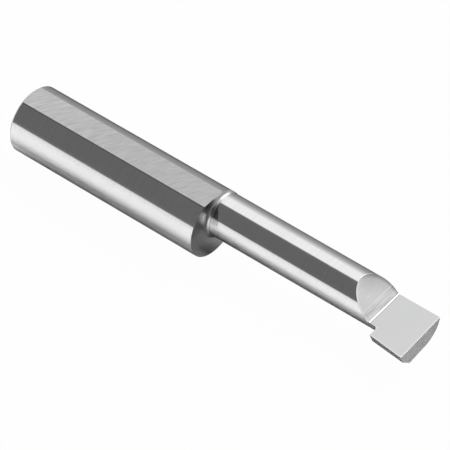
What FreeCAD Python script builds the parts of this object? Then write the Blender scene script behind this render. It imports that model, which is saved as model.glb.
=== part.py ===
import FreeCAD, Part
import math
import os

# A solid carbide boring bar, ground all over from one round blank
#
# The origin is the centre of the shank's rear face. +X runs along the shank's axis towards the
# cutting end, +Z is the way the rake face and the clamping flat look, and the cutting corner is
# on the -Y side. Lengths are in millimetres and angles in degrees.

# Shank, held in the bar holder
shank_diameter = 9.525
shank_length = 31.1
rear_chamfer = 0.3
clamping_flat_depth = 0.31

# Neck, ground off centre so that it leaves all the room on the cutting side
neck_diameter = 6.16
neck_lean = 19.4
neck_skin_gap = 0.03
shoulder_fillet = 0.48

# Reach from the shoulder to the cutting corner, and where that corner lies
reach = 32.4
corner_offset = 3.52
rake_height = 0.2

# Rake face, and the ramp that runs up from it to the full neck
heel_to_ramp = 1.25
ramp_angle = 45.0
ramp_fillet = 0.5

# Head, which stands out sideways from the neck
head_length = 5.3
heel_fillet = 0.5
heel_notch_sink = 0.12
heel_notch_length = 1.5
end_edge_dish = 1.2
end_relief = 2.5
side_edge_taper = 6.5
side_relief = 18.0
side_land_height = 1.36
clearance_facet_angle = 45.0
clearance_facet_taper = 4.9
underside_slope = 4.5
underside_sink = 0.05

# Room that the cutting blocks have beyond the bar
block_margin = 5.0

# Sizes worked out from those above
shank_radius = shank_diameter / 2
neck_radius = neck_diameter / 2
neck_offset = shank_radius - neck_radius - neck_skin_gap
neck_y = neck_offset * math.cos(math.radians(neck_lean))
neck_z = neck_offset * math.sin(math.radians(neck_lean))
shoulder_x = shank_length
corner_x = shoulder_x + reach
heel_x = corner_x - head_length
ramp_foot_x = heel_x - heel_to_ramp
blank_end_x = corner_x + block_margin

along = FreeCAD.Vector(1, 0, 0)
cutting_corner = FreeCAD.Vector(corner_x, -corner_offset, rake_height)


def slope(degrees):
    return math.tan(math.radians(degrees))


def beyond(point, normal):
    """The block on the far side of a plane, to grind away what lies there."""
    side = 2 * (blank_end_x + block_margin)
    block = Part.makeBox(side, side, side)
    block.translate(FreeCAD.Vector(-side / 2, -side / 2, 0))
    turn = FreeCAD.Rotation(FreeCAD.Vector(0, 0, 1), normal)
    return block.transformed(FreeCAD.Placement(point, turn).toMatrix())


def turned(edges, axis_y, axis_z):
    """The solid that a closed half section in X and radius gives when it turns about an axis."""
    face = Part.Face(Part.Wire(edges))
    face.translate(FreeCAD.Vector(0, axis_y, axis_z))
    return face.revolve(FreeCAD.Vector(0, axis_y, axis_z), along, 360)


def lines(*points):
    """Straight edges through points, in order."""
    edges = []
    for start, end in zip(points, points[1:]):
        edges.append(Part.makeLine(start, end))
    return edges


def section_point(x, radius):
    return FreeCAD.Vector(x, radius, 0)


def hollow_arc(start, end, centre, radius):
    """The quarter arc of a concave fillet, which bulges towards its corner."""
    chord_middle = (start + end) * 0.5
    outward = chord_middle - centre
    outward.normalize()
    return Part.Arc(start, centre + outward * radius, end).toShape()


def shank():
    """The plain round shank with its rear chamfer."""
    outline = lines(
        section_point(0, 0),
        section_point(0, shank_radius - rear_chamfer),
        section_point(rear_chamfer, shank_radius),
        section_point(shoulder_x, shank_radius),
        section_point(shoulder_x, 0),
        section_point(0, 0),
    )
    return turned(outline, 0, 0)


def neck():
    """The off-centre neck with the fillet at its root, kept inside the round of the blank."""
    root = section_point(shoulder_x, neck_radius + shoulder_fillet)
    run = section_point(shoulder_x + shoulder_fillet, neck_radius)
    centre = section_point(shoulder_x + shoulder_fillet, neck_radius + shoulder_fillet)
    outline = lines(section_point(shoulder_x, 0), root)
    outline.append(hollow_arc(root, run, centre, shoulder_fillet))
    outline += lines(
        run,
        section_point(blank_end_x, neck_radius),
        section_point(blank_end_x, 0),
        section_point(shoulder_x, 0),
    )
    blank = Part.makeCylinder(shank_radius, blank_end_x - shoulder_x, section_point(shoulder_x, 0), along)
    return turned(outline, neck_y, neck_z).common(blank)


def head_stock(start_x):
    """The part of the blank beside the neck, with its side, clearance facet and underside ground."""
    stock = Part.makeBox(
        blank_end_x - start_x,
        neck_y + shank_radius,
        rake_height + shank_radius,
        FreeCAD.Vector(start_x, -shank_radius, -shank_radius),
    )
    side_normal = FreeCAD.Vector(-slope(side_edge_taper), -1, -slope(side_relief))
    land_foot = cutting_corner + FreeCAD.Vector(
        -side_land_height * slope(end_relief),
        side_land_height * slope(side_relief),
        -side_land_height,
    )
    facet_normal = FreeCAD.Vector(-slope(clearance_facet_taper), -1, -slope(clearance_facet_angle))
    under_normal = FreeCAD.Vector(0, slope(underside_slope), -1)
    under_normal.normalize()
    under_point = FreeCAD.Vector(0, neck_y, neck_z) + under_normal * (neck_radius - underside_sink)
    stock = stock.cut(beyond(cutting_corner, side_normal))
    stock = stock.cut(beyond(land_foot, facet_normal))
    return stock.cut(beyond(under_point, under_normal))


def heel_flare():
    """The fillet that carries the neck out to the heel, where the head covers it."""
    run = section_point(heel_x - heel_fillet, neck_radius)
    rim = section_point(heel_x, neck_radius + heel_fillet)
    centre = section_point(heel_x - heel_fillet, neck_radius + heel_fillet)
    outline = lines(section_point(heel_x - heel_fillet, 0), run)
    outline.append(hollow_arc(run, rim, centre, heel_fillet))
    outline += lines(rim, section_point(heel_x, 0), section_point(heel_x - heel_fillet, 0))
    return turned(outline, neck_y, neck_z).common(head_stock(heel_x - heel_fillet))


def heel_notch():
    """The wheel's cut behind the heel, which leaves a narrow flat along the neck's edge."""
    rake_drop = neck_z - rake_height
    neck_edge_y = neck_y - math.sqrt(neck_radius ** 2 - rake_drop ** 2)
    floor_y = neck_edge_y + heel_notch_sink
    start_x = heel_x - heel_notch_length
    outer_y = -shank_radius - block_margin
    on_floor = FreeCAD.Vector(heel_x - heel_fillet, floor_y, 0)
    on_heel = FreeCAD.Vector(heel_x, floor_y - heel_fillet, 0)
    centre = FreeCAD.Vector(heel_x - heel_fillet, floor_y - heel_fillet, 0)
    outline = [hollow_arc(on_floor, on_heel, centre, heel_fillet)]
    outline += lines(
        on_heel,
        FreeCAD.Vector(heel_x, outer_y, 0),
        FreeCAD.Vector(start_x + outer_y - floor_y, outer_y, 0),
        FreeCAD.Vector(start_x, floor_y, 0),
        on_floor,
    )
    face = Part.Face(Part.Wire(outline))
    face.translate(FreeCAD.Vector(0, 0, -shank_radius - block_margin))
    return face.extrude(FreeCAD.Vector(0, 0, 2 * (shank_radius + block_margin)))


def rake_cutter():
    """What the wheel takes off above the rake face, with the ramp and the fillet at its foot."""
    top_z = shank_radius + block_margin
    tangent = ramp_fillet * slope(ramp_angle / 2)
    lean = FreeCAD.Vector(-math.cos(math.radians(ramp_angle)), 0, math.sin(math.radians(ramp_angle)))
    foot = FreeCAD.Vector(ramp_foot_x, 0, rake_height)
    on_rake = foot + along * tangent
    on_ramp = foot + lean * tangent
    centre = on_rake + FreeCAD.Vector(0, 0, ramp_fillet)
    ramp_top = foot + lean * ((top_z - rake_height) / lean.z)
    outline = lines(FreeCAD.Vector(blank_end_x + block_margin, 0, rake_height), on_rake)
    outline.append(hollow_arc(on_rake, on_ramp, centre, ramp_fillet))
    outline += lines(
        on_ramp,
        ramp_top,
        FreeCAD.Vector(blank_end_x + block_margin, 0, top_z),
        FreeCAD.Vector(blank_end_x + block_margin, 0, rake_height),
    )
    face = Part.Face(Part.Wire(outline))
    face.translate(FreeCAD.Vector(0, -shank_radius - block_margin, 0))
    return face.extrude(FreeCAD.Vector(0, 2 * (shank_radius + block_margin), 0))


def boring_bar():
    """The whole bar: the turned forms joined, then the rake, the end and the clamping flat ground."""
    bar = shank().fuse([neck(), head_stock(heel_x), heel_flare()])
    bar = bar.cut(heel_notch())
    bar = bar.cut(rake_cutter())
    end_normal = FreeCAD.Vector(1, slope(end_edge_dish), -slope(end_relief))
    bar = bar.cut(beyond(cutting_corner, end_normal))
    flat_point = FreeCAD.Vector(0, 0, shank_radius - clamping_flat_depth)
    bar = bar.cut(beyond(flat_point, FreeCAD.Vector(0, 0, 1)))
    return bar.removeSplitter()


os.makedirs("parts", exist_ok=True)
boring_bar().exportStep("parts/boring_bar.step")
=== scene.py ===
import math

import bmesh
import bpy
from mathutils import Matrix, Vector


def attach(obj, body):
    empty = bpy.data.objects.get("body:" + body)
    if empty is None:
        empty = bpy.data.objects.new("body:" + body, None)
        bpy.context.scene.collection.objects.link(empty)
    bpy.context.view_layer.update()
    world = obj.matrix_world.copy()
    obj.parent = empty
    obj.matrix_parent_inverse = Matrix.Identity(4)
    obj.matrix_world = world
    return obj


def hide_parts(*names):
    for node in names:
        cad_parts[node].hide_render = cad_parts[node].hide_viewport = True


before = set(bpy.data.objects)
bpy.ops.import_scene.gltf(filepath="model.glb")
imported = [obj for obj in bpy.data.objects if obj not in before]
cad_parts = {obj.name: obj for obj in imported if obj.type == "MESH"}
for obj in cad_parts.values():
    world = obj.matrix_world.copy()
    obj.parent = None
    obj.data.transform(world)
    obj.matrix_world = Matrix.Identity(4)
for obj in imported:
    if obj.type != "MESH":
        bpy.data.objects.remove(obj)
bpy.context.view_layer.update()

# The blank and its shank. The bar starts as a round stick of solid tungsten carbide, ground true
# between the wheels of a centreless grinder, with a small chamfer at its rear end. The whole bar is
# shaped here in millimetres, and brought to metres once it is finished.
shank_radius = 9.525 / 2
shank_length = 31.1
rear_chamfer = 0.3
overall_length = 63.5
blank_end = overall_length + 5.0
round_steps = 256
touching = 0.00001


def as_object(name, shape):
    mesh = bpy.data.meshes.new(name)
    shape.to_mesh(mesh)
    shape.free()
    made = bpy.data.objects.new(name, mesh)
    bpy.context.scene.collection.objects.link(made)
    return made


def turned(name, outline, axis_y, axis_z):
    """A closed solid: an outline of (x, radius) points spun once about a line along X."""
    shape = bmesh.new()
    points = [shape.verts.new((x, axis_y + radius, axis_z)) for x, radius in outline]
    edges = [shape.edges.new(pair) for pair in zip(points, points[1:])]
    bmesh.ops.spin(
        shape,
        geom=points + edges,
        cent=(0, axis_y, axis_z),
        axis=(1, 0, 0),
        angle=math.tau,
        steps=round_steps,
        use_merge=True,
    )
    bmesh.ops.remove_doubles(shape, verts=shape.verts, dist=touching)
    rims = [edge for edge in shape.edges if edge.is_boundary]
    bmesh.ops.holes_fill(shape, edges=rims, sides=0)
    bmesh.ops.recalc_face_normals(shape, faces=shape.faces)
    return as_object(name, shape)


def combine(body, other, operation):
    """Joins another solid to the body, or cuts it away, and takes the other one off the scene."""
    step = body.modifiers.new("combine", "BOOLEAN")
    step.operation = operation
    step.solver = "EXACT"
    step.object = other
    graph = bpy.context.evaluated_depsgraph_get()
    mesh = bpy.data.meshes.new_from_object(body.evaluated_get(graph))
    body.modifiers.clear()
    body.data = mesh
    bpy.data.objects.remove(other)


shank_outline = [
    (0, shank_radius - rear_chamfer),
    (rear_chamfer, shank_radius),
    (shank_length, shank_radius),
]
bar = turned("ground_bar", shank_outline, 0, 0)

# The neck, ground off centre about its own axis so that it leaves all the room on the cutting side.
# A fillet joins it to the shoulder. Where the fillet would stand out past the blank's own round,
# the round stays, and the neck's skin lies just inside it.
neck_radius = 6.16 / 2
neck_lean = math.radians(19.4)
skin_gap = 0.03
neck_offset = shank_radius - neck_radius - skin_gap
neck_y = neck_offset * math.cos(neck_lean)
neck_z = neck_offset * math.sin(neck_lean)
shoulder_fillet = 0.48


def hollow(centre_x, centre_radius, size, start, end, steps=16):
    """Points along a concave fillet, between two angles of its own circle."""
    points = []
    for step in range(steps + 1):
        angle = math.radians(start + (end - start) * step / steps)
        points.append((centre_x + size * math.cos(angle), centre_radius + size * math.sin(angle)))
    return points


root_x = shank_length + shoulder_fillet
root_fillet = hollow(root_x, neck_radius + shoulder_fillet, shoulder_fillet, 180, 270)
neck = turned("neck", root_fillet + [(blank_end, neck_radius)], neck_y, neck_z)
blank = turned("blank", [(shank_length, shank_radius), (blank_end, shank_radius)], 0, 0)
combine(neck, blank, "INTERSECT")
combine(bar, neck, "UNION")

# The head, which stands out sideways from the neck to its cutting corner. The wheel gives it a
# relieved side, a clearance facet under that and an underside that rises a little. Under the heel
# the neck flares out to meet it in a fillet.
rake_height = 0.2
cutting_corner = Vector((overall_length, -3.52, rake_height))
heel_x = overall_length - 5.3
heel_fillet = 0.5
side_taper = math.tan(math.radians(6.5))
side_relief = math.tan(math.radians(18))
side_land = 1.36
end_relief = math.tan(math.radians(2.5))
end_dish = math.tan(math.radians(1.2))
facet_taper = math.tan(math.radians(4.9))
facet_slope = math.tan(math.radians(45))
underside_slope = math.tan(math.radians(4.5))
underside_sink = 0.05
rake_spare = 0.5
flare_lap = 0.4


def ground_off(shape, point, normal):
    """Grinds away what lies beyond a plane and closes the face that this leaves."""
    cut = bmesh.ops.bisect_plane(
        shape,
        geom=shape.verts[:] + shape.edges[:] + shape.faces[:],
        dist=touching,
        plane_co=point,
        plane_no=normal,
        clear_outer=True,
    )
    rim = [piece for piece in cut["geom_cut"] if isinstance(piece, bmesh.types.BMEdge)]
    bmesh.ops.contextual_create(shape, geom=rim)
    bmesh.ops.recalc_face_normals(shape, faces=shape.faces)


def grind_head_sides(shape):
    """Grinds the side's land, the clearance facet under it and the underside."""
    land_drop = Vector((-side_land * end_relief, side_land * side_relief, -side_land))
    land_foot = cutting_corner + land_drop
    under = Vector((0, underside_slope, -1)).normalized()
    under_point = Vector((0, neck_y, neck_z)) + under * (neck_radius - underside_sink)
    ground_off(shape, cutting_corner, Vector((-side_taper, -1, -side_relief)))
    ground_off(shape, land_foot, Vector((-facet_taper, -1, -facet_slope)))
    ground_off(shape, under_point, under)


stock = bmesh.new()
bmesh.ops.create_cube(stock, size=1)
stock_size = (blank_end - heel_x, neck_y + shank_radius, rake_height + shank_radius)
stock_middle = (
    (blank_end + heel_x) / 2,
    (neck_y - shank_radius) / 2,
    (rake_height - shank_radius) / 2 + rake_spare,
)
bmesh.ops.scale(stock, verts=stock.verts, vec=stock_size)
bmesh.ops.translate(stock, verts=stock.verts, vec=stock_middle)
for corner in stock.verts:
    if corner.co.z < 0:
        corner.co.z -= rake_spare
grind_head_sides(stock)
head = as_object("head", stock)

flare_start = heel_x - heel_fillet
flare = turned(
    "flare",
    [(flare_start, neck_radius - flare_lap)]
    + hollow(flare_start, neck_radius + heel_fillet, heel_fillet, 270, 360)
    + [(heel_x + flare_lap, neck_radius + heel_fillet)],
    neck_y,
    neck_z,
)
flare_shape = bmesh.new()
flare_shape.from_mesh(flare.data)
bpy.data.objects.remove(flare)
grind_head_sides(flare_shape)
ground_off(flare_shape, Vector((0, neck_y, 0)), Vector((0, 1, 0)))
flare = as_object("flare", flare_shape)
combine(head, flare, "UNION")
combine(bar, head, "UNION")

# The wheel's other cuts: the narrow flat behind the heel, the rake face with the ramp that runs
# up from it to the full neck, the end face and the clamping flat along the shank.
heel_notch_sink = 0.12
heel_notch_length = 1.28
ramp_foot = heel_x - 1.25
ramp_fillet = 0.5
ramp_angle = 45
flat_height = shank_radius - 0.31
reach_out = 12.0
rake_cut_end = blank_end + 2.0


def drawn_out(name, outline, place, direction):
    """A solid: an outline of (x, second) points, drawn out along the third direction."""
    shape = bmesh.new()
    corners = [shape.verts.new(place(point)) for point in outline]
    face = shape.faces.new(corners)
    moved = bmesh.ops.extrude_face_region(shape, geom=[face])
    verts = [piece for piece in moved["geom"] if isinstance(piece, bmesh.types.BMVert)]
    bmesh.ops.translate(shape, verts=verts, vec=direction)
    bmesh.ops.recalc_face_normals(shape, faces=shape.faces)
    return as_object(name, shape)


notch_floor = neck_y - math.sqrt(neck_radius**2 - (neck_z - rake_height) ** 2) + heel_notch_sink
notch_start = heel_x - heel_notch_length
notch = drawn_out(
    "notch",
    [(notch_start - reach_out - notch_floor, -reach_out), (notch_start, notch_floor)]
    + hollow(flare_start, notch_floor - heel_fillet, heel_fillet, 90, 0)
    + [(heel_x, -reach_out)],
    lambda point: (point[0], point[1], -reach_out),
    (0, 0, 2 * reach_out),
)
combine(bar, notch, "DIFFERENCE")

tangent = ramp_fillet * math.tan(math.radians(ramp_angle / 2))
rake_cut = drawn_out(
    "rake_cut",
    [(rake_cut_end, rake_height)]
    + hollow(ramp_foot + tangent, rake_height + ramp_fillet, ramp_fillet, 270, 270 - ramp_angle)
    + [(ramp_foot - reach_out + rake_height, reach_out), (rake_cut_end, reach_out)],
    lambda point: (point[0], -reach_out, point[1]),
    (0, 2 * reach_out, 0),
)
combine(bar, rake_cut, "DIFFERENCE")

shape = bmesh.new()
shape.from_mesh(bar.data)
ground_off(shape, cutting_corner, Vector((1, end_dish, -end_relief)))
ground_off(shape, Vector((0, 0, flat_height)), Vector((0, 0, 1)))
bmesh.ops.dissolve_limit(
    shape, angle_limit=math.radians(0.05), verts=shape.verts, edges=shape.edges, delimit=set()
)

# The edges. Bare carbide chips, so a fine stone takes every sharp edge down by a hundredth or two
# of a millimetre. The clamping flat's edges are left as the wheel leaves them, and so are the seams
# where the fillets at the root and at the heel run out.
edge_land = 0.018
short_edge = 0.004
slack = 0.01
root_seam_width = shoulder_fillet + 0.06
heel_seam_width = 0.2
heel_seam_top = -0.3
rear_corner_end = rear_chamfer + 0.05
rear_corner_half = 0.9
rear_corner_foot = 4.2
sharp_turn = math.radians(8)
shaded_turn = math.radians(15)


def off_neck(place):
    """How far a place lies outside the neck's round."""
    return (place - Vector((place.x, neck_y, neck_z))).length - neck_radius


def is_stoned(edge):
    """Whether the stone goes over an edge: it stands out, and isn't in a place that is left."""
    middle = (edge.verts[0].co + edge.verts[1].co) / 2
    x, y, z = middle
    off = off_neck(middle)
    beside_flat = abs(z - flat_height) < 0.001 and x < shank_length + slack
    root_seam = shank_length - slack < x < root_x + slack and off < root_seam_width
    at_heel = flare_start - slack < x < heel_x + slack
    heel_seam = at_heel and z < heel_seam_top and off < heel_seam_width
    rear_corner = x < rear_corner_end and abs(y) < rear_corner_half and z > rear_corner_foot
    return edge.is_convex and not (beside_flat or root_seam or heel_seam or rear_corner)


bmesh.ops.remove_doubles(shape, verts=shape.verts, dist=short_edge)
bmesh.ops.dissolve_degenerate(shape, edges=shape.edges, dist=0.0005)
stoned = []
for edge in shape.edges:
    if edge.calc_face_angle(0) > sharp_turn:
        edge.smooth = is_stoned(edge)
        if edge.smooth:
            stoned.append(edge)
edges_made = bmesh.ops.bevel(
    shape,
    geom=stoned,
    offset=edge_land,
    offset_type="OFFSET",
    affect="EDGES",
    segments=2,
    profile=0.5,
    material=-1,
    clamp_overlap=False,
)
stoned_faces = set(edges_made["faces"])
for corner in shape.verts:
    if not all(edge.smooth for edge in corner.link_edges):
        for edge in corner.link_edges:
            edge.smooth = edge.smooth and edge.calc_face_angle(0) < shaded_turn

# What a grinding wheel leaves: long broad marks, fine scratches inside them, and a soft cloud over
# the whole face where the wheel was sharper or duller. The marks lie across the X of Place. All
# the finishes count in metres.
finer_by = (6.0, 2.0, 2.0)
clouds_to_a_metre = (300.0, 300.0, 300.0)


def add_node(tree, kind, **settings):
    """A new node of a kind, with its settings."""
    made = tree.nodes.new("ShaderNode" + kind)
    for name, value in settings.items():
        setattr(made, name, value)
    return made


def feed(tree, value, socket):
    """Links a node's output to a socket, or sets the socket where the value is a plain one."""
    if isinstance(value, bpy.types.NodeSocket):
        tree.links.new(value, socket)
    else:
        socket.default_value = value


def number(tree, operation, *values):
    """What a Math node makes of some numbers."""
    made = add_node(tree, "Math", operation=operation)
    for value, socket in zip(values, made.inputs):
        feed(tree, value, socket)
    return made.outputs[0]


def vector(tree, operation, *values):
    """What a Vector Math node makes of some vectors."""
    made = add_node(tree, "VectorMath", operation=operation)
    for value, socket in zip(values, made.inputs):
        feed(tree, value, socket)
    return made.outputs["Value" if operation in ("LENGTH", "DOT_PRODUCT") else "Vector"]


def put_together(tree, **axes):
    """A vector made from its X, Y and Z."""
    made = add_node(tree, "CombineXYZ")
    for name, value in axes.items():
        feed(tree, value, made.inputs[name])
    return made.outputs[0]


def group_with(name, inputs, outputs):
    """An empty node group with named sockets, and the sockets on its inner side."""
    made = bpy.data.node_groups.new(name, "ShaderNodeTree")
    for socket, kind in inputs:
        made.interface.new_socket(socket, in_out="INPUT", socket_type="NodeSocket" + kind)
    for socket in outputs:
        made.interface.new_socket(socket, in_out="OUTPUT", socket_type="NodeSocketFloat")
    return made, made.nodes.new("NodeGroupInput").outputs, made.nodes.new("NodeGroupOutput").inputs


def grain(tree, place, detail):
    """Noise about nought, mostly between -1 and 1."""
    noise = add_node(tree, "TexNoise")
    noise.inputs["Scale"].default_value = 1
    noise.inputs["Detail"].default_value = detail
    feed(tree, place, noise.inputs["Vector"])
    return number(tree, "MULTIPLY_ADD", noise.outputs["Fac"], 5.0, -2.5)


wheel_marks, given, back = group_with(
    "wheel_marks",
    [("Place", "Vector"), ("Spacing", "Float"), ("Length", "Float")],
    ["Marks", "Scratches", "Cloud"],
)
across = number(wheel_marks, "DIVIDE", 1.0, given["Spacing"])
along = number(wheel_marks, "DIVIDE", 1.0, given["Length"])
stretch = put_together(wheel_marks, X=across, Y=along, Z=along)
drawn = vector(wheel_marks, "MULTIPLY", given["Place"], stretch)
finer = vector(wheel_marks, "MULTIPLY", drawn, finer_by)
broad = vector(wheel_marks, "MULTIPLY", given["Place"], clouds_to_a_metre)
feed(wheel_marks, grain(wheel_marks, drawn, 2.0), back["Marks"])
feed(wheel_marks, grain(wheel_marks, finer, 3.0), back["Scratches"])
feed(wheel_marks, grain(wheel_marks, broad, 2.0), back["Cloud"])

# The narrow line where a face ends at its neighbour, a painted highlight or painted shade along
# the edge. Beside is the way that the neighbouring plane looks, and Reach is how far out that plane
# lies.


def fade(tree, value, from_low, from_high, to_low, to_high, kind="SMOOTHSTEP"):
    """A number that goes from one level to another while the value crosses a stretch."""
    made = add_node(tree, "MapRange", interpolation_type=kind)
    for setting, socket in zip((value, from_low, from_high, to_low, to_high), made.inputs):
        feed(tree, setting, socket)
    return made.outputs[0]


edge_line, given, back = group_with(
    "edge_line",
    [("Place", "Vector"), ("Beside", "Vector"), ("Reach", "Float"), ("Width", "Float")],
    ["Line"],
)
out_to = vector(edge_line, "DOT_PRODUCT", given["Place"], given["Beside"])
inside = number(edge_line, "SUBTRACT", given["Reach"], out_to)
feed(edge_line, fade(edge_line, inside, 0.0, given["Width"], 1.0, 0.0), back["Line"])

# The same painted line of light or shade where a face runs out on a round, whose axis goes along X
# through Centre.
rim_line, given, back = group_with(
    "rim_line",
    [("Place", "Vector"), ("Centre", "Vector"), ("Radius", "Float"), ("Width", "Float")],
    ["Line"],
)
from_axis = vector(rim_line, "SUBTRACT", given["Place"], given["Centre"])
from_axis = vector(rim_line, "MULTIPLY", from_axis, (0.0, 1.0, 1.0))
inside = number(rim_line, "SUBTRACT", given["Radius"], vector(rim_line, "LENGTH", from_axis))
feed(rim_line, fade(rim_line, inside, 0.0, given["Width"], 1.0, 0.0), back["Line"])

# The rounds: the shank and the neck, ground to a bright finish. The marks run round the bar, and
# only a close look shows them. A thin line of painted shade runs on the round beside the flat's
# front edge.
darker_at_a_glance = (0.45, 0.45, 0.45, 1)
lightest_carbide = (0.995, 0.998, 1, 1)


def start_finish(name, roughness):
    """Bare carbide: a metal whose colour, roughness and relief come from the marks on it."""
    material = bpy.data.materials.new(name)
    material.use_nodes = True
    tree = material.node_tree
    shader = tree.nodes["Principled BSDF"]
    shader.inputs["Metallic"].default_value = 1
    shader.inputs["Roughness"].default_value = roughness
    shader.inputs["Specular Tint"].default_value = darker_at_a_glance
    bar.data.materials.append(material)
    return tree, shader, add_node(tree, "TexCoord").outputs["Object"]


def axes_of(tree, place):
    split = add_node(tree, "SeparateXYZ")
    feed(tree, place, split.inputs[0])
    return split.outputs


def use(tree, group, **values):
    """Puts a group into a material with the material's own values."""
    made = add_node(tree, "Group", node_tree=group)
    for name, value in values.items():
        feed(tree, value, made.inputs[name])
    return made.outputs


def painted_line_beside(tree, place, way, reach, width):
    """The painted line where a face meets the plane that looks that way, at a reach in millimetres.
    """
    return use(tree, edge_line, Place=place, Beside=way, Reach=reach / 1000, Width=width)["Line"]


def painted_line_at_rim(tree, place, centre, radius, width):
    """The painted line where a face ends at a round with that centre, and a radius in millimetres.
    """
    return use(
        tree, rim_line, Place=place, Centre=centre, Radius=radius / 1000, Width=width
    )["Line"]


def times(tree, product, *others):
    for other in others:
        product = number(tree, "MULTIPLY", product, other)
    return product


def blend(tree, start, *shares):
    """A plain level, plus each mask times its own share."""
    total = start
    for mask, share in shares:
        total = number(tree, "MULTIPLY_ADD", mask, share, total)
    return total


def colour(tree, shader, level, *shares):
    """Grey carbide, a touch cool, at a level between black and white plus the masks' shares."""
    mix = add_node(tree, "Mix", data_type="RGBA")
    feed(tree, blend(tree, level, *shares), mix.inputs["Factor"])
    mix.inputs[6].default_value = (0, 0, 0, 1)
    mix.inputs[7].default_value = lightest_carbide
    feed(tree, mix.outputs[2], shader.inputs["Base Color"])


def roughen(tree, shader, *shares):
    """Adds the masks' shares to the roughness that the finish started with."""
    socket = shader.inputs["Roughness"]
    feed(tree, blend(tree, socket.default_value, *shares), socket)


def relief(tree, shader, depth, height, *shares):
    """Lets the marks stand up and sink in, by a depth in thousandths of a millimetre."""
    bump = add_node(tree, "Bump")
    bump.inputs["Strength"].default_value = 1
    bump.inputs["Distance"].default_value = depth / 1000000
    feed(tree, blend(tree, height, *shares), bump.inputs["Height"])
    feed(tree, bump.outputs[0], shader.inputs["Normal"])


tree, shader, place = start_finish("round_ground", 0.12)
axes = axes_of(tree, place)
marks = use(tree, wheel_marks, Place=place, Spacing=0.00035, Length=0.012)
painted_shade_by_flat = painted_line_beside(tree, place, (0.0, 0.0, 1.0), flat_height, 0.00011)
on_shank = fade(tree, axes["X"], 0.031, 0.0313, 1.0, 0.0)
in_front = fade(tree, axes["Y"], -0.0012, -0.001, 1.0, 0.0)
painted_shade_by_flat = times(tree, painted_shade_by_flat, on_shank, in_front)
colour(
    tree, shader, 0.9,
    (marks["Marks"], 0.02), (marks["Scratches"], 0.03), (marks["Cloud"], 0.01), (painted_shade_by_flat, -0.36),
)
roughen(tree, shader, (marks["Scratches"], 0.012), (marks["Cloud"], 0.008))
relief(tree, shader, 0.2, marks["Scratches"], (marks["Marks"], 2.0))

# The fillet at the neck's root. It has the shape of the wheel's worn corner, so it is rougher than
# the rounds, and roughest at the top. It is also painted a little darker than the rounds, as shade
# in the corner.
tree, shader, place = start_finish("root_fillet", 0.27)
marks = use(tree, wheel_marks, Place=place, Spacing=0.00012, Length=0.006)
towards_top = fade(tree, axes_of(tree, place)["Z"], 0.0031, 0.0035, 0.0, 1.0)
colour(
    tree, shader, 0.8, (marks["Marks"], 0.03), (marks["Scratches"], 0.03), (marks["Cloud"], 0.02)
)
roughen(tree, shader, (marks["Marks"], 0.02), (towards_top, 0.2))
relief(tree, shader, 0.2, marks["Scratches"])

# The clamping flat, ground across with the face of a cup wheel, which leaves a row of arcs. They
# are plainest at the rear and fade towards the shoulder. The flat is painted lighter towards the
# rear, and has a painted highlight along its rim.
shank_place = (0.0, 0.0, 0.0)
cup_radius = 0.0138
cup_off_centre = 0.0075
tree, shader, place = start_finish("flat_ground", 0.35)
axes = axes_of(tree, place)
from_cup = number(tree, "ADD", axes["Y"], cup_off_centre)
swept = number(tree, "SUBTRACT", cup_radius**2, times(tree, from_cup, from_cup))
swept = number(tree, "ADD", axes["X"], number(tree, "SQRT", swept))
arcs = put_together(tree, X=swept, Y=axes["Y"])
marks = use(tree, wheel_marks, Place=arcs, Spacing=0.00026, Length=0.0022)
strokes = times(tree, marks["Marks"], fade(tree, axes["X"], 0.008, 0.024, 0.85, 0.55))
painted_light_at_rear = fade(tree, axes["X"], 0.0, 0.02, 1.0, 0.0)
rim = painted_line_at_rim(tree, place, shank_place, shank_radius, 0.00005)
colour(
    tree, shader, 0.53,
    (strokes, 0.1), (marks["Scratches"], 0.055), (marks["Cloud"], 0.006),
    (painted_light_at_rear, 0.055), (rim, 0.03),
)
roughen(tree, shader, (strokes, 0.04), (marks["Scratches"], 0.02))
relief(tree, shader, 0.4, marks["Scratches"], (strokes, 3.0))

# The rake face, lapped after grinding until hardly a mark is left, with a painted highlight along
# its cutting edges and its heel.
end_way = Vector((1, end_dish, -end_relief)).normalized()
side_way = Vector((-side_taper, -1, -side_relief)).normalized()
tree, shader, place = start_finish("rake_ground", 0.25)
marks = use(tree, wheel_marks, Place=place, Spacing=0.00012, Length=0.004)
painted_end_highlight = painted_line_beside(tree, place, end_way, end_way.dot(cutting_corner), 0.0003)
painted_side_highlight = painted_line_beside(tree, place, side_way, side_way.dot(cutting_corner), 0.0003)
painted_heel_highlight = painted_line_beside(tree, place, (-1.0, 0.0, 0.0), -heel_x, 0.00025)
on_head = fade(tree, axes_of(tree, place)["Y"], -0.0014, -0.0012, 1.0, 0.0)
painted_heel_highlight = times(tree, painted_heel_highlight, on_head)
colour(
    tree, shader, 0.69,
    (marks["Marks"], 0.004), (marks["Scratches"], 0.006), (marks["Cloud"], 0.006),
    (painted_end_highlight, 0.13), (painted_side_highlight, 0.13), (painted_heel_highlight, 0.1),
)
roughen(
    tree, shader,
    (marks["Scratches"], 0.015), (marks["Cloud"], 0.01), (painted_end_highlight, -0.08), (painted_side_highlight, -0.08),
)
relief(tree, shader, 0.2, marks["Scratches"])
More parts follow.
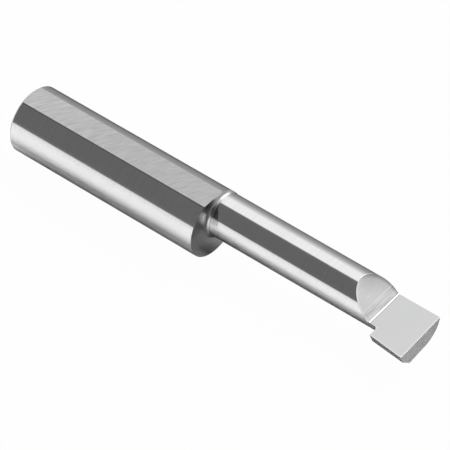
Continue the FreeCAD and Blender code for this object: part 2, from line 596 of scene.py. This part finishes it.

# The ramp, cut by the wheel's corner as it lifted out of the bar. Its marks lie across the bar,
# plainest at the foot, and it has painted shade towards the top at the back. Its rim has a painted
# highlight in front and painted shade behind.
neck_place = (0.0, neck_y / 1000, neck_z / 1000)
tree, shader, place = start_finish("ramp_ground", 0.2)
axes = axes_of(tree, place)
marks = use(tree, wheel_marks, Place=place, Spacing=0.00017, Length=0.0035)
strokes = times(tree, marks["Marks"], fade(tree, axes["Z"], 0.0009, 0.0016, 1.0, 0.1))
up_and_back = number(tree, "ADD", axes["Z"], times(tree, axes["Y"], 0.6))
painted_shade_up_back = fade(tree, up_and_back, 0.0022, 0.0052, 0.0, 1.0)
rim_width = fade(tree, axes["Y"], 0.0, 0.0034, 0.0003, 0.0006)
rim = painted_line_at_rim(tree, place, neck_place, neck_radius, rim_width)
rim = times(tree, rim, fade(tree, axes["Y"], 0.0, 0.0034, 0.2, -0.3))
colour(
    tree, shader, 0.73,
    (strokes, 0.16), (marks["Scratches"], 0.03), (marks["Cloud"], 0.02), (painted_shade_up_back, -0.17), (rim, 1.0),
)
roughen(tree, shader, (strokes, 0.02), (marks["Cloud"], 0.01))
relief(tree, shader, 0.3, marks["Scratches"], (strokes, 2.0))

# The fillet at the ramp's foot, ground by the worn corner of the same wheel. It mirrors the lamp
# from end to end, so it shows as a white line across the bar.
tree, shader, place = start_finish("ramp_fillet", 0.15)
marks = use(tree, wheel_marks, Place=place, Spacing=0.0001, Length=0.003)
colour(tree, shader, 0.42, (marks["Marks"], 0.02), (marks["Scratches"], 0.02))
roughen(tree, shader, (marks["Marks"], 0.02))
relief(tree, shader, 0.2, marks["Scratches"])

# The shoulder, which the side of the wheel faced while it ground the neck, so its marks are rings
# about the neck's own axis, and its upper part has painted shade. The rear face is ground square,
# with rings about the shank's axis. Both have a painted highlight along the rim.


def face_finish(name, level, roughness, centre, spacing, strength, painted_shade_above):
    """A face square to the bar, with rings about a centre, a painted highlight at its rim, and
    painted shade above.
    """
    tree, shader, place = start_finish(name, roughness)
    spoke = vector(tree, "SUBTRACT", place, centre)
    spoke = vector(tree, "MULTIPLY", spoke, (0.0, 1.0, 1.0))
    rings = put_together(tree, X=vector(tree, "LENGTH", spoke), Y=axes_of(tree, spoke)["Y"])
    marks = use(tree, wheel_marks, Place=rings, Spacing=spacing, Length=0.004)
    rim = painted_line_at_rim(tree, place, shank_place, shank_radius, 0.00018)
    above = fade(tree, axes_of(tree, place)["Z"], 0.0002, 0.0016, 0.0, 1.0)
    colour(
        tree, shader, level,
        (marks["Marks"], strength), (marks["Scratches"], strength * 0.6), (marks["Cloud"], 0.01),
        (rim, 0.1), (above, -painted_shade_above),
    )
    roughen(tree, shader, (marks["Marks"], 0.03), (marks["Scratches"], 0.02))
    relief(tree, shader, 0.4, marks["Scratches"], (marks["Marks"], 3.0))


face_finish(
    "shoulder_ground",
    level=0.95,
    roughness=0.225,
    centre=neck_place,
    spacing=0.00026,
    strength=0.12,
    painted_shade_above=0.3,
)
face_finish(
    "rear_ground",
    level=0.66,
    roughness=0.26,
    centre=shank_place,
    spacing=0.00026,
    strength=0.04,
    painted_shade_above=0.03,
)

# The end face, the side with its facet and the underside, and the heel. Each is ground with the
# wheel's rim drawn along the edge above it, and the end face has painted light towards the cutting
# corner.


def stood_up(tree, place):
    """Turns a place about Y, so that marks across X lie across Z instead."""
    turn = add_node(tree, "Mapping")
    turn.inputs["Rotation"].default_value = (0, math.radians(90), 0)
    feed(tree, place, turn.inputs["Vector"])
    return turn.outputs[0]


tree, shader, place = start_finish("end_ground", 0.3)
marks = use(tree, wheel_marks, Place=stood_up(tree, place), Spacing=0.00016, Length=0.0015)
painted_light_to_corner = fade(tree, axes_of(tree, place)["Y"], -0.0035, 0.003, 1.0, 0.0, "LINEAR")
colour(
    tree, shader, 0.42,
    (marks["Marks"], 0.07), (marks["Scratches"], 0.09), (marks["Cloud"], 0.02), (painted_light_to_corner, 0.15),
)
roughen(tree, shader, (marks["Marks"], 0.02), (marks["Scratches"], 0.03))
relief(tree, shader, 0.3, marks["Scratches"], (marks["Marks"], 2.0))

tree, shader, place = start_finish("relief_ground", 0.3)
marks = use(tree, wheel_marks, Place=stood_up(tree, place), Spacing=0.00016, Length=0.003)
colour(
    tree, shader, 0.86, (marks["Marks"], 0.02), (marks["Scratches"], 0.03), (marks["Cloud"], 0.02)
)
roughen(tree, shader, (marks["Marks"], 0.03), (marks["Scratches"], 0.03))
relief(tree, shader, 0.4, marks["Scratches"], (marks["Marks"], 2.0))

tree, shader, place = start_finish("heel_ground", 0.3)
marks = use(tree, wheel_marks, Place=place, Spacing=0.00012, Length=0.003)
colour(tree, shader, 0.42, (marks["Marks"], 0.03), (marks["Scratches"], 0.03))
roughen(tree, shader, (marks["Marks"], 0.04))
relief(tree, shader, 0.4, marks["Scratches"], (marks["Marks"], 2.0))

# The stoned edges themselves, a little bright land along each. The stone leaves them finer than
# the wheel leaves the faces beside them.
tree, shader, place = start_finish("stoned_edge", 0.22)
marks = use(tree, wheel_marks, Place=place, Spacing=0.0002, Length=0.0002)
colour(tree, shader, 0.75, (marks["Marks"], 0.04), (marks["Cloud"], 0.03))
roughen(tree, shader, (marks["Marks"], 0.04))

# The finished bar. Each face takes its own finish, the rounds are shaded evenly up to their edges,
# and the whole bar is brought from millimetres to metres.
square_on = 0.999
mostly = 0.9
straight = 0.01
near = 0.02
off_round = 0.0005
ramp_from = 40
ramp_tilt = 0.6
fillet_tilt = 0.77
notch_run_out = 0.5


def finish_of(face):
    """Which ground finish a face has, from where it lies and which way it looks."""
    normal, place = face.normal, face.calc_center_median()
    off = off_neck(place)
    if face in stoned_faces:
        return "stoned_edge"
    if normal.z > square_on and abs(place.z - flat_height) < near and place.x < shank_length:
        return "flat_ground"
    if normal.z > square_on and abs(place.z - rake_height) < near:
        return "rake_ground"
    out_and_up = normal.x > 0.005 and normal.z > ramp_tilt and abs(normal.y) < straight
    if out_and_up and place.x > ramp_from:
        return "ramp_fillet" if normal.z > fillet_tilt else "ramp_ground"
    if normal.x < -square_on and place.x < slack:
        return "rear_ground"
    if normal.x > square_on and abs(place.x - shank_length) < slack:
        return "shoulder_ground"
    if normal.x > mostly and place.x > heel_x:
        return "end_ground"
    if place.x > heel_x + slack and off > slack:
        return "relief_ground"
    if shank_length < place.x < root_x and off > off_round:
        return "root_fillet"
    in_notch = place.x > notch_start - notch_run_out and place.y < notch_floor + near
    if in_notch and abs(normal.z) < straight:
        return "heel_ground"
    return "round_ground"


finishes = [material.name for material in bar.data.materials]
for face in shape.faces:
    face.material_index = finishes.index(finish_of(face))
    face.smooth = True
shape.to_mesh(bar.data)
shape.free()

even_shading = bar.modifiers.new("even shading", "WEIGHTED_NORMAL")
even_shading.weight = 100
even_shading.keep_sharp = True
graph = bpy.context.evaluated_depsgraph_get()
bar.data = bpy.data.meshes.new_from_object(bar.evaluated_get(graph))
bar.modifiers.clear()

bar.data.transform(Matrix.Scale(0.001, 4))
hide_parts("boring_bar")
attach(bar, "root")

# The floor, a plain white sheet that the bar lies on. To the camera it is white. The metal mirrors
# it whiter than it lights the bar, with painted shadow in bands where the bar shades it and under
# the neck's root, and painted light in a strip beside the shank, beyond the bar's end and far in
# front.
floor_shape = bmesh.new()
bmesh.ops.create_grid(floor_shape, x_segments=1, y_segments=1, size=0.4)
bmesh.ops.translate(floor_shape, verts=floor_shape.verts, vec=(0, 0, -shank_radius / 1000))
floor = as_object("floor", floor_shape)


def bare_material(owner, name):
    """A material with no nodes in it yet, given to its owner, and its node tree."""
    material = bpy.data.materials.new(name)
    material.use_nodes = True
    material.node_tree.nodes.clear()
    owner.data.materials.append(material)
    return material.node_tree


def banded(tree, value, levels):
    """A brightness that goes evenly from level to level, each given as (value, brightness)."""
    first, last = levels[0][0], levels[-1][0]
    bands = add_node(tree, "ValToRGB")
    feed(tree, fade(tree, value, first, last, 0.0, 1.0, "LINEAR"), bands.inputs["Fac"])
    stops = bands.color_ramp.elements
    for spot, (at, strength) in enumerate(levels):
        share = (at - first) / (last - first)
        stop = stops[spot] if spot < 2 else stops.new(share)
        stop.position = share
        stop.color = (strength, strength, strength, 1)
    return bands.outputs["Color"]


def between(tree, value, start, rise, fall, end):
    """One inside a stretch of the floor and nought outside it."""
    return times(
        tree, fade(tree, value, start, rise, 0.0, 1.0), fade(tree, value, fall, end, 1.0, 0.0)
    )


def mixed(tree, share, first, second):
    """Two shaders mixed, from all of the first at nought to all of the second at one."""
    made = add_node(tree, "MixShader")
    for value, socket in zip((share, first, second), made.inputs):
        feed(tree, value, socket)
    return made.outputs[0]


shade_across = [
    (-0.014, 1.0),
    (-0.0097, 0.94),
    (-0.0067, 0.775),
    (-0.0053, 0.85),
    (-0.0035, 0.79),
    (-0.0022, 0.68),
    (-0.0009, 0.565),
    (0.0007, 0.82),
    (0.0022, 0.945),
    (0.004, 0.8),
    (0.011, 0.547),
    (0.016, 0.51),
    (0.022, 0.51),
]
tree = bare_material(floor, "white_sheet")
axes = axes_of(tree, add_node(tree, "TexCoord").outputs["Object"])
beyond_end = fade(tree, axes["X"], 0.0615, 0.0635, 0.0, 0.945)
shade = number(tree, "MAXIMUM", banded(tree, axes["Y"], shade_across), beyond_end)
under_root = times(
    tree,
    between(tree, axes["X"], 0.031, 0.0312, 0.0328, 0.0337),
    between(tree, axes["Y"], -0.0018, -0.0012, 0.002, 0.0032),
)
beside_shank = times(
    tree,
    fade(tree, axes["X"], 0.0295, 0.031, 1.0, 0.0),
    between(tree, axes["Y"], -0.0068, -0.0058, -0.0048, -0.004),
)
far_front = fade(tree, axes["Y"], -0.3, -0.02, 1.0, 0.0, "LINEAR")
whiter = blend(tree, 1.48, (under_root, -0.82), (beside_shank, 0.74), (far_front, 0.2))
paper = add_node(tree, "BsdfDiffuse")
paper.inputs["Color"].default_value = (0.9, 0.9, 0.9, 1)
mirrored = add_node(tree, "BsdfDiffuse")
feed(tree, times(tree, shade, whiter), mirrored.inputs["Color"])
seen_by = add_node(tree, "LightPath").outputs
in_metal = mixed(tree, seen_by["Is Glossy Ray"], paper.outputs[0], mirrored.outputs[0])
whitened = times(tree, seen_by["Is Camera Ray"], 0.98)
sheet = mixed(tree, whitened, in_metal, add_node(tree, "Emission").outputs[0])
feed(tree, sheet, add_node(tree, "OutputMaterial").inputs["Surface"])

# The light tent, white cloth drawn over a frame along the bar. Its front is a dark opening that
# the camera looks through, darker beside the head than beside the shank. The cloth thins towards
# the back, and the tent's end beyond the head lets less light in.
opening_by_shank = 0.13
opening_by_head = 0.035
tent = bpy.data.worlds.new("light_tent")
bpy.context.scene.world = tent
tent.use_nodes = True
tree = tent.node_tree
tree.nodes.clear()
axes = axes_of(tree, add_node(tree, "TexCoord").outputs["Generated"])
about_bar = number(tree, "ARCTAN2", axes["Y"], axes["Z"])


def cloth(opening):
    """The tent's brightness by the angle about the bar, with its opening as dark as given."""
    levels = [
        (-180, 0.85),
        (-90, 0.85),
        (-80, 0.83),
        (-78.8, opening),
        (5.2, opening),
        (6.6, 0.935),
        (50, 0.935),
        (55, 0.82),
        (65, 0.6),
        (75, 0.475),
        (85, 0.38),
        (95, 0.32),
        (180, 0.32),
    ]
    return banded(tree, about_bar, [(math.radians(angle), level) for angle, level in levels])


both = add_node(tree, "Mix", data_type="RGBA")
feed(tree, fade(tree, axes["X"], -0.2, 0.2, 0.0, 1.0), both.inputs["Factor"])
feed(tree, cloth(opening_by_shank), both.inputs[6])
feed(tree, cloth(opening_by_head), both.inputs[7])
inside_tent = add_node(tree, "Background")
feed(tree, both.outputs[2], inside_tent.inputs["Color"])
feed(tree, fade(tree, axes["X"], 0.8, 0.92, 1.0, 0.3), inside_tent.inputs["Strength"])
backdrop = add_node(tree, "Background")
backdrop.inputs["Color"].default_value = (1, 1, 1, 1)
to_camera = add_node(tree, "LightPath").outputs["Is Camera Ray"]
around = mixed(tree, to_camera, inside_tent.outputs[0], backdrop.outputs[0])
feed(tree, around, add_node(tree, "OutputWorld").inputs["Surface"])

# The grey card behind the bar, which gives the far side of both rounds a darker edge. It stands on
# the floor, and only the metal sees it.


def card(name, length, width, turn, axis, place):
    """A flat card that only the metal sees, turned about an axis and put in its place."""
    card_shape = bmesh.new()
    bmesh.ops.create_grid(card_shape, x_segments=1, y_segments=1, size=0.5)
    verts = card_shape.verts
    bmesh.ops.scale(card_shape, verts=verts, vec=(length, width, 1))
    turned_by = Matrix.Rotation(math.radians(turn), 3, axis)
    bmesh.ops.rotate(card_shape, verts=verts, matrix=turned_by)
    bmesh.ops.translate(card_shape, verts=verts, vec=place)
    made = as_object(name, card_shape)
    made.visible_camera = False
    made.visible_shadow = False
    made.visible_diffuse = False
    return made


grey_card = card(
    "grey_card", length=0.2, width=0.00876, turn=90, axis="X", place=(0.03, 0.014, -0.00038)
)
tree = bare_material(grey_card, "grey_card")
axes = axes_of(tree, add_node(tree, "TexCoord").outputs["Object"])
grey_upwards = [(-0.0045, 0.22), (-0.001525, 0.33), (0.0006, 0.4), (0.004, 0.36)]
card_glow = add_node(tree, "Emission")
feed(tree, banded(tree, axes["Z"], grey_upwards), card_glow.inputs["Color"])
feed(tree, card_glow.outputs[0], add_node(tree, "OutputMaterial").inputs["Surface"])

# The black card, which stands across the neck and keeps the shoulder's face dark. Only the metal
# in front of it sees it, because from behind it is clear.
black_card = card(
    "black_card",
    length=0.0082,
    width=0.0047,
    turn=-90,
    axis="Y",
    place=(0.0332, -0.00085, -0.00066),
)
tree = bare_material(black_card, "black_card")
dark_side = add_node(tree, "Emission")
dark_side.inputs["Strength"].default_value = 0.137
clear_side = add_node(tree, "BsdfTransparent")
from_behind = add_node(tree, "NewGeometry").outputs["Backfacing"]
one_sided = mixed(tree, from_behind, dark_side.outputs[0], clear_side.outputs[0])
feed(tree, one_sided, add_node(tree, "OutputMaterial").inputs["Surface"])

# The lamp, a soft box hung above and behind the bar with its long side across it. It gives the
# white band along the top of both rounds.
lamp_brightness = 3.9
lamp_lean = math.radians(41)
lamp = bpy.data.lights.new("softbox", "AREA")
lamp.shape = "RECTANGLE"
lamp.size = 0.44
lamp.size_y = 0.6
lamp.energy = lamp_brightness * math.pi * lamp.size * lamp.size_y
softbox = bpy.data.objects.new("softbox", lamp)
softbox.location = (0.29, math.sin(lamp_lean), math.cos(lamp_lean))
softbox.rotation_euler = (-lamp_lean, 0, 0)
bpy.context.scene.collection.objects.link(softbox)

# The camera, where the photograph was taken from: to the right of the bar, in front of it and above
# it. Its place, turn and lens were worked out from the outlines of the rounds and the head.
camera_data = bpy.data.cameras.new("camera")
camera_data.sensor_width = 36
camera_data.lens = 255.043
camera_data.clip_start = 0.01
camera = bpy.data.objects.new("camera", camera_data)
camera.location = (0.2183036, -0.2024252, 0.2950672)
camera.rotation_euler = [math.radians(angle) for angle in (42.9597, 2.5374, 39.7774)]
bpy.context.scene.collection.objects.link(camera)
bpy.context.scene.camera = camera
bpy.context.scene.view_settings.view_transform = "Standard"
